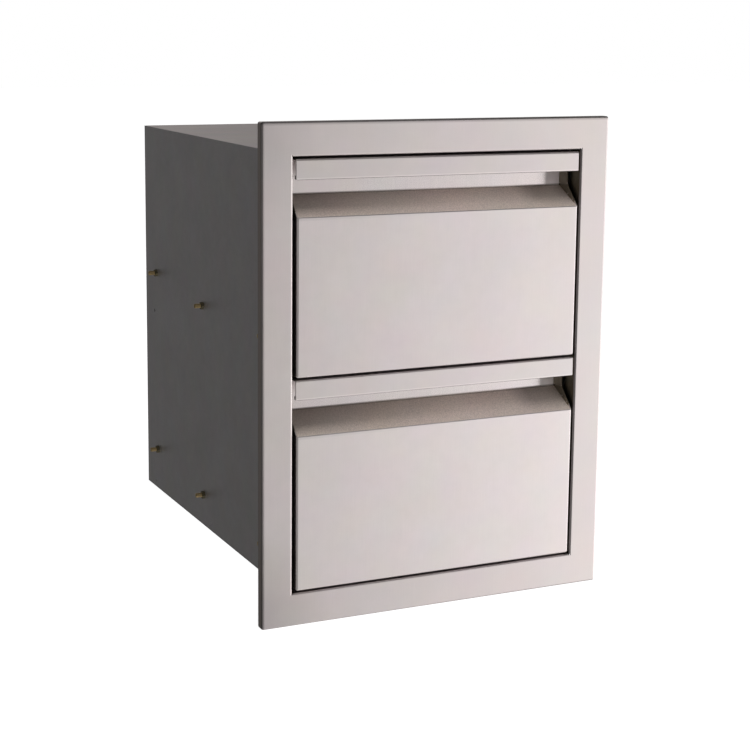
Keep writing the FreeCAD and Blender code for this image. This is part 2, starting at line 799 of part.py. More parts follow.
def release_levers(level, lift):
    """The levers in both runners by which a drawer lifts off its slides."""
    levers = []
    for name, side in SIDES.items():
        lever = Piece(f"lever_{level}_{name}")
        start = "stage_inset + stage_long / 4"
        outline = [
            (start, "-lever_tall / 2"),
            (f"{start} + lever_long * 0.6", "-lever_tall / 2"),
            (f"{start} + lever_long", "-lever_tall / 4"),
            (f"{start} + lever_long", "lever_tall / 4"),
            (f"{start} + lever_long * 0.6", "lever_tall / 2"),
            (start, "lever_tall / 2"),
        ]
        ends = sorted((f"{-side} * runner_web", f"{-side} * (runner_web - lever_thick)"), key=value)
        lever.pad("X", ends[0], ends[1], [outline])
        seat_slide(lever, side, lift)
        levers.append(lever.body)
    group("release_levers_" + level, levers)


def slide_buffers():
    """The rubber buffers at the rear ends of the fixed channels."""
    buffers = []
    for name, side in SIDES.items():
        for level, lift in LEVELS.items():
            buffer = Piece(f"buffer_{name}_{level}")
            start = "2 * stage_inset + stage_long"
            edges = sorted((f"{-side} * slide_sheet", f"{-side} * (slide_sheet + buffer_thick)"), key=value)
            outline = box(edges[0], start, edges[1], "slide_long")
            buffer.pad("Z", "-(buffer_drop + buffer_tall)", "-buffer_drop", [outline])
            seat_slide(buffer, side, lift)
            buffers.append(buffer.body)
    group("slide_buffers", buffers)


def slides():
    """Four telescopic slides: fixed channel, middle channel, two cages and runner."""
    for level, lift in LEVELS.items():
        for side_name, side in SIDES.items():
            name = f"{level}_{side_name}"
            outer_channel(name, side, lift)
            middle_channel(name, side, lift)
            runner(name, side, lift)
            ball_cage("outer_cage_" + name, side, lift,
                      "slide_sheet + outer_play", "outer_ball_row", "outer_ball_out")
            ball_cage("inner_cage_" + name, side, lift,
                      "inner_cage_web", "inner_ball_row", "inner_ball_out")


def check_model():
    """Stop where a feature failed or a sub-part is empty or broken."""
    for item in doc.Objects:
        if {"Invalid", "Error"} & set(item.State):
            raise RuntimeError(f"{item.Label} failed: {item.State}")
    for item in parts:
        if item.Shape.isNull() or not item.Shape.isValid():
            raise RuntimeError(item.Label + " has no valid shape")


def main():
    """Build the unit and write one file for each sub-part."""
    fill_sheet()
    face_frame()
    for name, side in SIDES.items():
        cabinet_side(name, side)
    cabinet_cover("top", "case_high", 1)
    cabinet_cover("bottom", "case_low", -1)
    cabinet_back()
    for level, lift in LEVELS.items():
        drawer_front(level, lift)
        drawer_box(level, lift)
        drawer_screws(level, lift)
        release_levers(level, lift)
    slides()
    slide_buffers()
    for name, side in SIDES.items():
        slide_bolts(name, side)
    doc.recompute()
    check_model()
    os.makedirs("parts", exist_ok=True)
    for item in parts:
        item.Shape.exportStep(f"parts/{item.Label}.step")
        print(item.Label, len(item.Shape.Solids), round(item.Shape.Volume, 1))


main()
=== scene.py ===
"""Looks of an outdoor kitchen drawer unit, built round its packed construction model.

Lengths are metres, and millimetres in the zones of a finish. X runs to the right, Y to the back and Z up,
as in the construction model.
"""
import logging
import math
from dataclasses import dataclass, replace
from enum import Enum
from functools import cached_property

import bmesh
import bpy
from mathutils import Matrix, Vector


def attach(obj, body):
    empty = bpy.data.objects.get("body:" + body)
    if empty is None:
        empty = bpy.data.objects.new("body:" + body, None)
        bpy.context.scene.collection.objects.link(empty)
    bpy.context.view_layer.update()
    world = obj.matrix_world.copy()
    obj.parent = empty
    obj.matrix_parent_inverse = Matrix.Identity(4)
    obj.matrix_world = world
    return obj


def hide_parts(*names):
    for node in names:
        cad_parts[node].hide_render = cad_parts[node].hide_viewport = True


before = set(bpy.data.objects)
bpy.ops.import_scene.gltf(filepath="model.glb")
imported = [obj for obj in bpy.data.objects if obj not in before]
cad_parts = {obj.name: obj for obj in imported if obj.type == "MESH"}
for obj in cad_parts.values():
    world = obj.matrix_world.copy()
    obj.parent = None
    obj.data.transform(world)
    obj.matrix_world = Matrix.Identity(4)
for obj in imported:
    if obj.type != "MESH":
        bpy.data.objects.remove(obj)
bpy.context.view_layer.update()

LOG = logging.getLogger("drawer_unit")
MM = 0.001
MICROMETRE_PLACES = 6
SHARP_ANGLE = math.radians(38)
SAME_SPOT = 1e-6
THREAD_SUNK = 0.97
THREAD_WIDE = 0.9
Pair = tuple[float, float]
Triple = tuple[float, float, float]
Socket = bpy.types.NodeSocket


class Axis(Enum):
    """A direction of the unit."""

    ACROSS = 0
    DEEP = 1
    HIGH = 2


def reach_of(name: str, axis: Axis) -> Pair:
    """Where a node of the construction model starts and ends, to the micrometre.

    Args:
        name: the node's name.
        axis: the direction to measure in.

    Returns:
        Its least and its greatest coordinate.
    """
    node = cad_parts[name]
    spots = [(node.matrix_world @ vert.co)[axis.value] for vert in node.data.vertices]
    return round(min(spots), MICROMETRE_PLACES), round(max(spots), MICROMETRE_PLACES)


class Option(Enum):
    """A choice whose name is a word in the names of nodes and pieces."""

    @property
    def word(self) -> str:
        """The option's word."""
        return self.name.lower()


class Side(Option):
    """Which side of the unit a piece stands on, as seen from the front."""

    LEFT = -1
    RIGHT = 1


class Level(Option):
    """Which drawer a piece belongs to, with the height of that drawer's front above the origin."""

    LOWER = reach_of("drawer_front_lower", Axis.HIGH)[0]
    UPPER = reach_of("drawer_front_upper", Axis.HIGH)[0]


class BallRow(Option):
    """The two pairs of ball rows in a slide.

    The values are millimetres: how far the cage's web stands in from the cabinet's wall, how far above and
    below the slide's middle the balls run, and how far in from the wall their centres lie.
    """

    OUTER = (2.6, 19.95, 6.6)
    INNER = (5.5, 15.55, 7.9)


@dataclass(frozen=True)
class Layout:
    """Places that several small parts share, taken from the unit's right side and its upper drawer."""

    wall_inside: float = reach_of("cabinet_side_right", Axis.ACROSS)[0]
    wall_outside: float = reach_of("cabinet_side_right", Axis.ACROSS)[1]
    channel_inside: float = reach_of("slide_buffers", Axis.ACROSS)[1]
    slide_front: float = reach_of("slide_outer_upper_right", Axis.DEEP)[0]
    slide_rear: float = reach_of("slide_outer_upper_right", Axis.DEEP)[1]
    slide_lift: float = sum(reach_of("slide_outer_upper_right", Axis.HIGH)) / 2 - Level.UPPER.value
    box_half: float = reach_of("drawer_tub_upper", Axis.ACROSS)[1]
    box_front: float = reach_of("drawer_tub_upper", Axis.DEEP)[0]
    box_back: float = reach_of("drawer_tub_upper", Axis.DEEP)[1]
    wall_sheet: float = wall_outside - wall_inside
    slide_sheet: float = wall_inside - channel_inside


LAYOUT = Layout()


class Nodes:
    """Adds shader nodes to one material or world and links them."""

    def __init__(self, owner: bpy.types.ID) -> None:
        """Take over an owner's node tree, emptied.

        Args:
            owner: the material or world to build in.
        """
        owner.use_nodes = True
        self.tree = owner.node_tree
        self.tree.nodes.clear()

    def add(self, kind: str, inputs: dict | None = None, **settings: object) -> bpy.types.Node:
        """Add one node.

        Args:
            kind: the node's type, without the ShaderNode prefix.
            inputs: socket names or numbers, each with a value or a socket to link.
            settings: the node's own properties.

        Returns:
            The new node.
        """
        node = self.tree.nodes.new("ShaderNode" + kind)
        for name, setting in settings.items():
            setattr(node, name, setting)
        for name, given in (inputs or {}).items():
            socket = node.inputs[name]
            if isinstance(given, bpy.types.NodeSocket):
                self.tree.links.new(given, socket)
            else:
                socket.default_value = given
        return node

    def math(self, operation: str, *given: object) -> Socket:
        """Add a Math node and return its result socket."""
        return self.add("Math", dict(enumerate(given)), operation=operation).outputs[0]

    def vector(self, operation: str, *given: object) -> Socket:
        """Add a Vector Math node and return its vector socket."""
        return self.add("VectorMath", dict(enumerate(given)), operation=operation).outputs[0]

    @cached_property
    def place(self) -> Socket:
        """The Object coordinates, which every pattern follows."""
        return self.add("TexCoord").outputs["Object"]

    def noise(self, cells: Triple, detail: float = 2.0) -> Socket:
        """A noise pattern about 0.5, with its own count of cells per metre along each axis."""
        spot = self.add("Mapping", {"Vector": self.place, "Scale": cells})
        return self.add("TexNoise", {"Vector": spot.outputs[0], "Scale": 1.0, "Detail": detail}).outputs[0]

    def spread(self, pattern: Socket, low: float, high: float,
               start: float = 0.3, end: float = 0.7) -> Socket:
        """Map a pattern from start..end to low..high, clamped."""
        mapped = {"Value": pattern, "From Min": start, "From Max": end, "To Min": low, "To Max": high}
        return self.add("MapRange", mapped).outputs[0]

    def span(self, value: Socket, start: float, end: float, soft: float) -> Socket:
        """A mask that is 1 from start to end and fades to 0 over a soft edge outside them."""
        ramps = [
            self.add("MapRange", {"Value": value, "From Min": low, "From Max": high}).outputs[0]
            for low, high in ((start - soft, start), (end + soft, end))
        ]
        return self.math("MULTIPLY", *ramps)

    def tinted(self, colour: Triple, amount: Socket) -> Socket:
        """A colour scaled by a varying amount."""
        return self.add("VectorMath", {0: colour, "Scale": amount}, operation="SCALE").outputs[0]

    def clouded(self, colour: Socket, cells: float, amount: float) -> Socket:
        """A colour that drifts a little between warmer and cooler clouds.

        Args:
            colour: the colour to change.
            cells: clouds per metre.
            amount: how far each channel may drift, as a share of it.

        Returns:
            The clouded colour's socket.
        """
        clouds = self.add("TexNoise", {"Vector": self.place, "Scale": cells, "Detail": 2.0}).outputs["Color"]
        drift = self.vector("MULTIPLY_ADD", clouds, (4 * amount,) * 3, (1 - 2 * amount,) * 3)
        return self.vector("MULTIPLY", colour, drift)

    def surface(self, inputs: dict) -> None:
        """Close a material with one principled shader, whose sockets are given a value or a link."""
        self.add("OutputMaterial", {"Surface": self.add("BsdfPrincipled", inputs).outputs[0]})


@dataclass
class Sheen:
    """What a sheet's shader is given, as its zones, many of them painted shade or painted highlight, are laid
    over it one by one.
    """

    tone: Socket
    rough: Socket
    metal: float | Socket = 1.0
    shares: Triple | Socket = (1.0, 1.0, 1.0)


@dataclass(frozen=True)
class Zone:
    """A box in a sheet piece with a tone and dullness of its own, fading out over soft edges.

    It lies alike on the left and on the right where it is mirrored. Its heights count from the lower edge
    of each drawer's front where it is per drawer. Its cast is what it adds to the shares of red, green and
    blue, and its grit is how far a fine sparkle lifts or lowers the tone. In most zones the tone and the cast
    are painted shade or painted highlight on bends, recesses and corners.
    """

    across: Pair
    deep: Pair
    high: Pair
    tone: float = 1.0
    rougher: float = 0.0
    matte: float = 0.0
    soft: float | Triple = 0.3
    per_drawer: bool = True
    mirrored: bool = True
    cast: Triple = (0.0, 0.0, 0.0)
    grit: float = 0.0
    grit_cells: Triple = (900.0, 450.0, 450.0)

    def mask(self, nodes: Nodes) -> Socket:
        """A mask that is 1 inside the zone.

        Args:
            nodes: the material's nodes.

        Returns:
            The mask's socket.
        """
        across, deep, high = nodes.add("SeparateXYZ", {0: nodes.place}).outputs
        if self.per_drawer:
            lifted = nodes.math("SUBTRACT", high, Level.LOWER.value)
            high = nodes.math("WRAP", lifted, Level.UPPER.value - Level.LOWER.value, 0.0)
        if self.mirrored:
            across = nodes.math("ABSOLUTE", across)
        edges = self.soft if isinstance(self.soft, tuple) else (self.soft,) * 3
        rows = zip((across, deep, high), (self.across, self.deep, self.high), edges)
        spans = [nodes.span(value, low * MM, top * MM, edge * MM) for value, (low, top), edge in rows]
        return nodes.math("MULTIPLY", nodes.math("MULTIPLY", spans[0], spans[1]), spans[2])

    def lay(self, nodes: Nodes, sheen: Sheen) -> None:
        """Change a sheet's sheen inside the zone.

        Args:
            nodes: the material's nodes.
            sheen: what its shader is given, changed in place.
        """
        mask = self.mask(nodes)
        # the zone's tone scales the colour: painted shade below 1, painted highlight above 1, in most zones
        sheen.tone = nodes.math("MULTIPLY", sheen.tone, nodes.math("MULTIPLY_ADD", mask, self.tone - 1, 1.0))
        if self.grit:
            sparks = nodes.spread(nodes.noise(self.grit_cells), -self.grit, self.grit)
            sheen.tone = nodes.math("MULTIPLY", sheen.tone, nodes.math("MULTIPLY_ADD", mask, sparks, 1.0))
        if self.rougher:
            sheen.rough = nodes.math("MULTIPLY_ADD", mask, self.rougher, sheen.rough)
        if self.matte:
            sheen.metal = nodes.math("MULTIPLY_ADD", mask, -self.matte, sheen.metal)
        if any(self.cast):
            sheen.shares = nodes.vector("MULTIPLY_ADD", mask, self.cast, sheen.shares)


@dataclass(frozen=True)
class FixedZone(Zone):
    """A zone whose heights count from the unit's origin."""

    per_drawer: bool = False


@dataclass(frozen=True)
class SheetFinish:
    """Steel sheet with a directional grain, faint rolling mottle and handling marks, and zones of its own
    dullness, painted shade and painted highlight.

    Grain and mottle cells are counts per metre. The swing, the grain's tone, the mottle and the tint are
    shares. The marks and the tint's clouds are finer than the mottle by factors of their own.
    """

    name: str
    colour: Triple
    roughness: float
    roughness_swing: float
    grain: Triple
    grain_depth: float
    grain_tone: float
    mottle: float
    mottle_cells: float
    zones: tuple[Zone, ...] = ()
    tint: float = 0.02
    marks_finer: float = 6.0
    clouds_finer: float = 1.7

    def material(self) -> bpy.types.Material:
        """Build the finish.

        Returns:
            A material that reads Object coordinates only.
        """
        made = bpy.data.materials.new(self.name)
        nodes = Nodes(made)
        streaks = nodes.noise(self.grain, 3.0)
        broad = nodes.noise((self.mottle_cells,) * 3)
        marks = nodes.noise((self.mottle_cells * self.marks_finer,) * 3, 4.0)
        tones = [
            nodes.spread(pattern, 1 - share, 1 + share)
            for pattern, share in ((streaks, self.grain_tone), (broad, self.mottle), (marks, self.mottle))
        ]
        swing = self.roughness_swing
        sheen = Sheen(
            nodes.math("MULTIPLY", nodes.math("MULTIPLY", tones[0], tones[1]), tones[2]),
            nodes.math("ADD", nodes.spread(streaks, self.roughness - swing, self.roughness + swing),
                       nodes.spread(marks, -swing / 2, swing / 2)))
        for zone in self.zones:
            zone.lay(nodes, sheen)
        bump = nodes.add("Bump", {"Height": streaks, "Strength": 1.0, "Distance": self.grain_depth})
        toned = nodes.vector("MULTIPLY", nodes.tinted(self.colour, sheen.tone), sheen.shares)
        nodes.surface({
            "Base Color": nodes.clouded(toned, self.mottle_cells * self.clouds_finer, self.tint),
            "Metallic": sheen.metal,
            "Roughness": sheen.rough,
            "Normal": bump.outputs[0],
        })
        return made


@dataclass(frozen=True)
class PlatedFinish:
    """A plated small part: thin colour clouds over metal, duller in its hollows."""

    name: str
    colour: Triple
    cloud: Triple
    roughness: float
    cells: float = 350.0
    grit_finer: float = 8.0
    dulling: Pair = (-0.07, 0.09)

    def material(self) -> bpy.types.Material:
        """Build the finish.

        Returns:
            A material that reads Object coordinates only.
        """
        made = bpy.data.materials.new(self.name)
        nodes = Nodes(made)
        clouds = nodes.noise((self.cells,) * 3, 3.0)
        grit = nodes.noise((self.cells * self.grit_finer,) * 3)
        mixed = nodes.add("Mix", {"Factor": nodes.spread(clouds, 0.0, 1.0),
                                  "A": (*self.colour, 1.0), "B": (*self.cloud, 1.0)}, data_type="RGBA")
        bump = nodes.add("Bump", {"Height": grit, "Strength": 0.4, "Distance": 0.04 * MM})
        nodes.surface({
            "Base Color": mixed.outputs["Result"],
            "Metallic": 1.0,
            "Roughness": nodes.spread(grit, *(self.roughness + change for change in self.dulling)),
            "Normal": bump.outputs[0],
        })
        return made


@dataclass(frozen=True)
class MouldedFinish:
    """Moulded plastic or rubber with a fine spark-eroded texture."""

    name: str
    colour: Triple
    roughness: float
    grain: float
    swing: float = 0.06
    dust_cells: float = 60.0
    dusting: Pair = (0.85, 1.25)

    def material(self) -> bpy.types.Material:
        """Build the finish.

        Returns:
            A material that reads Object coordinates only.
        """
        made = bpy.data.materials.new(self.name)
        nodes = Nodes(made)
        grain = nodes.noise((self.grain,) * 3)
        dust = nodes.noise((self.dust_cells,) * 3, 3.0)
        bump = nodes.add("Bump", {"Height": grain, "Strength": 0.5, "Distance": 0.06 * MM})
        nodes.surface({
            "Base Color": nodes.tinted(self.colour, nodes.spread(dust, *self.dusting)),
            "Roughness": nodes.spread(grain, self.roughness - self.swing, self.roughness + self.swing),
            "Normal": bump.outputs[0],
        })
        return made


Finish = SheetFinish | PlatedFinish | MouldedFinish

PULL_ACROSS = (0.0, 174.7)
BACK_DEEP = (26.0, 27.6)
BACK_HIGH = (197.6, 216.0)
SLOPE_HIGH = (173.0, 198.0)
VISOR_ACROSS = (0.0, 177.0)
SLOPE = Zone(PULL_ACROSS, (-14.2, 26.3), (174.0, 197.5), tone=1.04, rougher=0.14, matte=0.5,
             cast=(0.01, -0.05, -0.13), grit=0.15)
# painted shade: the pull's slope darkens towards its left end and its rear, where the left cheek and the
# visor shade it
SLOPE_LEFT_PAINTED_SHADE = Zone((-190.0, -172.0), (2.0, 27.0), SLOPE_HIGH, tone=0.40, soft=(210.0, 20.0, 1.0),
                  mirrored=False)
# painted shade: the slope darkens towards its right end, in the right cheek's shadow
SLOPE_RIGHT_PAINTED_SHADE = Zone((134.0, 176.0), (6.0, 27.0), SLOPE_HIGH, tone=0.62, soft=(26.0, 18.0, 1.0),
                   mirrored=False)
PULL_BACK = Zone(PULL_ACROSS, BACK_DEEP, BACK_HIGH, tone=0.96, rougher=-0.14, soft=0.15)
# painted light: the right end of the pull's back panel is lighter and matt, so it stays bright beside the
# dark right cheek
BACK_RIGHT_PAINTED_LIGHT = Zone((163.0, 174.7), BACK_DEEP, BACK_HIGH, tone=1.29, rougher=0.3, matte=0.9,
                  soft=(9.0, 0.2, 0.2), mirrored=False)
VISOR = Zone(VISOR_ACROSS, (-14.0, -11.5), (216.0, 239.5), tone=0.935)
# painted shade: a dark line along the visor's lowest edge, for the shadow under its hem
VISOR_PAINTED_SHADE_LINE = Zone(VISOR_ACROSS, (-13.6, -11.0), (216.0, 216.75), tone=0.5, soft=0.15)
# painted highlight: a light line just above the visor's lower edge
VISOR_PAINTED_HIGHLIGHT = Zone(VISOR_ACROSS, (-13.6, -13.0), (217.2, 218.2), tone=1.14, soft=0.4)
# painted shade: the visor's end faces are darker, for the shade in the gap beside the frame
VISOR_END_PAINTED_SHADE = Zone((175.9, 177.2), (-12.8, 27.6), (214.0, 240.0), tone=0.6, rougher=0.1, soft=0.15)
# painted shade: the pull's end cheeks are darkened and tinted olive, as they stand in shade inside the recess
CHEEK_PAINTED_SHADE = Zone((174.5, 176.2), (-8.6, 27.6), (176.0, 238.0), tone=0.40, rougher=0.12, soft=0.15,
             cast=(0.0, -0.02, -0.2))
# painted shade: darker in the crease where the pull's slope meets its back panel
PULL_CREASE_PAINTED_SHADE = Zone((0.0, 174.8), (24.6, 26.6), (195.6, 198.3), tone=0.72, rougher=0.1, soft=0.5)
# painted light: the lower drawer's front is a little lighter than the upper one, for how the light falls on
# it
LOWER_FRONT_PAINTED_LIGHT = FixedZone((0.0, 177.5), (-15.2, 28.0), (30.0, 276.0), tone=1.035)

OPENING_HIGH = (30.0, 524.0)
FLANGE_ACROSS = (-217.0, 217.0)
FLANGE_HIGH = (-5.0, 558.0)
LIP_ACROSS = (215.3, 216.4)
BEND_DEEP = (-13.2, -10.0)
CORNER_ACROSS = (-217.0, -205.0)
CORNER_DEEP = (-13.2, -11.0)
# painted shade: the opening's inner return is dark and olive, for the shade in the gap round the drawers
OPENING_RETURN_PAINTED_SHADE = FixedZone((179.0, 181.2), (-10.2, 10.0), OPENING_HIGH, tone=0.28, rougher=0.1, soft=0.8,
                           cast=(0.0, 0.0, -0.25))
# painted shade along the opening's right inner bend
RIGHT_BEND_PAINTED_SHADE = FixedZone((179.0, 181.6), (-12.4, -10.0), OPENING_HIGH, tone=0.4, soft=0.35, mirrored=False)
# painted shade: the flange's outer side faces are darkened and tinted, as they face away from the light
FLANGE_LIP_PAINTED_SHADE = FixedZone(LIP_ACROSS, (-11.4, 0.6), FLANGE_HIGH, tone=0.54, rougher=0.05, soft=0.5,
                       cast=(0.0, -0.06, -0.12))
# painted shade: a darker line along the rear edge of the flange's lip
LIP_REAR_PAINTED_SHADE = FixedZone(LIP_ACROSS, (-2.0, 0.6), FLANGE_HIGH, tone=0.8, rougher=0.05, soft=1.5)
# painted shade along the flange's left outer bend
LIP_BEND_PAINTED_SHADE = FixedZone((-216.5, -214.9), (-13.2, -11.2), FLANGE_HIGH, tone=0.5, soft=(3.0, 0.4, 1.0),
                     mirrored=False)
# painted shade along the flange's top outer bend
TOP_BEND_PAINTED_SHADE = FixedZone(FLANGE_ACROSS, BEND_DEEP, (556.3, 558.0), tone=0.5, soft=(1.0, 0.4, 3.5), mirrored=False)
# painted shade along the flange's bottom outer bend
LOW_BEND_PAINTED_SHADE = FixedZone(FLANGE_ACROSS, BEND_DEEP, (-5.0, -3.3), tone=0.72, soft=(1.0, 0.4, 0.7), mirrored=False)
# painted shade: the frame darkens towards its upper left corner, where the light falls off
UPPER_CORNER_PAINTED_SHADE = FixedZone(CORNER_ACROSS, CORNER_DEEP, (530.0, 558.0), tone=0.87, soft=(60.0, 1.0, 90.0),
                         mirrored=False)
# painted shade: the frame darkens towards its lower left corner, where the light falls off
LOWER_CORNER_PAINTED_SHADE = FixedZone(CORNER_ACROSS, CORNER_DEEP, (-5.0, 20.0), tone=0.80, soft=(70.0, 1.0, 90.0),
                         mirrored=False)

WALL_ACROSS = (180.9, 181.6)
# painted shade: darker lines along the side wall's rear and lower edges
SIDE_REAR_PAINTED_SHADE = FixedZone(WALL_ACROSS, (505.8, 508.2), OPENING_HIGH, tone=0.84, rougher=0.05, soft=0.9)
SIDE_LOW_PAINTED_SHADE = FixedZone(WALL_ACROSS, (-20.0, 510.0), (31.0, 33.6), tone=0.84, rougher=0.05, soft=0.9)
TOP_REAR_EDGE = FixedZone((0.0, 182.0), (500.0, 508.2), (520.3, 522.0), tone=0.90, rougher=0.05, soft=2.0)

FRAME_STEEL = SheetFinish(
    "frame_brushed_steel", colour=(0.735, 0.677, 0.672), roughness=0.36, roughness_swing=0.02,
    grain=(1500.0, 1500.0, 26.0), grain_depth=0.008 * MM, grain_tone=0.014, mottle=0.015, mottle_cells=9.0,
    zones=(OPENING_RETURN_PAINTED_SHADE, RIGHT_BEND_PAINTED_SHADE, FLANGE_LIP_PAINTED_SHADE, LIP_REAR_PAINTED_SHADE, LIP_BEND_PAINTED_SHADE, TOP_BEND_PAINTED_SHADE, LOW_BEND_PAINTED_SHADE,
           UPPER_CORNER_PAINTED_SHADE, LOWER_CORNER_PAINTED_SHADE))
FRONT_STEEL = replace(
    FRAME_STEEL, name="front_brushed_steel", colour=(0.775, 0.716, 0.713), mottle_cells=11.0,
    zones=(SLOPE, SLOPE_LEFT_PAINTED_SHADE, SLOPE_RIGHT_PAINTED_SHADE, PULL_BACK, BACK_RIGHT_PAINTED_LIGHT, VISOR, VISOR_PAINTED_SHADE_LINE, VISOR_PAINTED_HIGHLIGHT, VISOR_END_PAINTED_SHADE,
           CHEEK_PAINTED_SHADE, PULL_CREASE_PAINTED_SHADE, LOWER_FRONT_PAINTED_LIGHT))
CABINET_STEEL = SheetFinish(
    "cabinet_mill_steel", colour=(0.575, 0.56, 0.565), roughness=0.52, roughness_swing=0.03,
    grain=(420.0, 60.0, 420.0), grain_depth=0.012 * MM, grain_tone=0.02, mottle=0.03, mottle_cells=16.0,
    zones=(SIDE_REAR_PAINTED_SHADE, SIDE_LOW_PAINTED_SHADE, TOP_REAR_EDGE))
# painted light: the top is the walls' steel in a lighter, warmer colour, for the light it catches
TOP_STEEL_PAINTED_LIGHT = replace(CABINET_STEEL, name="cabinet_top_mill_steel", colour=(0.70, 0.635, 0.62))
BOX_STEEL = SheetFinish(
    "drawer_box_mill_steel", colour=(0.60, 0.575, 0.555), roughness=0.36, roughness_swing=0.04,
    grain=(700.0, 60.0, 700.0), grain_depth=0.015 * MM, grain_tone=0.03, mottle=0.05, mottle_cells=14.0)
SLIDE_ZINC = SheetFinish(
    "slide_bright_zinc", colour=(0.66, 0.67, 0.68), roughness=0.28, roughness_swing=0.05,
    grain=(900.0, 90.0, 900.0), grain_depth=0.01 * MM, grain_tone=0.04, mottle=0.05, mottle_cells=40.0)
CAGE_STEEL = replace(
    SLIDE_ZINC, name="cage_bare_steel", colour=(0.56, 0.555, 0.55), roughness=0.32, roughness_swing=0.04,
    grain=(900.0, 120.0, 900.0), mottle_cells=50.0)
BALL_STEEL = PlatedFinish("ball_polished_steel", (0.70, 0.70, 0.71), (0.62, 0.62, 0.63), 0.16)
SCREW_ZINC = PlatedFinish("screw_clear_zinc", (0.62, 0.63, 0.64), (0.55, 0.56, 0.60), 0.32)
BOLT_BRASS = PlatedFinish("bolt_yellow_zinc", (0.60, 0.45, 0.22), (0.48, 0.38, 0.22), 0.34)
# painted shade: the nuts share the bolts' plating, darkened to brown for the shade on them beside the wall
NUT_PAINTED_SHADE = PlatedFinish("nut_dark_zinc", (0.22, 0.19, 0.11), (0.15, 0.14, 0.10), 0.42)
WELD_STEEL = PlatedFinish("weld_ground_bead", (0.74, 0.71, 0.68), (0.52, 0.46, 0.42), 0.30, 700.0)
LEVER_PLASTIC = MouldedFinish("lever_black_plastic", (0.03, 0.03, 0.032), 0.46, 2600.0)
BUFFER_RUBBER = MouldedFinish("buffer_black_rubber", (0.022, 0.022, 0.022), 0.72, 1800.0)


class Paint:
    """Keeps one material for each finish and dresses nodes and pieces with it."""

    def __init__(self) -> None:
        """Start with no material made."""
        self.made: dict[str, bpy.types.Material] = {}

    def of(self, finish: Finish) -> bpy.types.Material:
        """The finish's one material, made when it is first asked for.

        Args:
            finish: the finish.

        Returns:
            The material.
        """
        if finish.name not in self.made:
            self.made[finish.name] = finish.material()
        return self.made[finish.name]

    def dress(self, thing: bpy.types.Object, finish: Finish) -> None:
        """Give an object this finish alone."""
        thing.data.materials.clear()
        thing.data.materials.append(self.of(finish))

    def nodes(self, finish: Finish, *names: str) -> None:
        """Dress nodes of the construction model and report each.

        Args:
            finish: what they are made of.
            names: the nodes' names.
        """
        for name in names:
            self.dress(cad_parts[name], finish)
            LOG.info("node %s: %s", name, finish.name)


PAINT = Paint()


def linked(name: str, data: bpy.types.ID) -> bpy.types.Object:
    """Add an object to the scene.

    Args:
        name: the object's name.
        data: the mesh, camera or light that it holds.

    Returns:
        The object.
    """
    made = bpy.data.objects.new(name, data)
    bpy.context.scene.collection.objects.link(made)
    return made


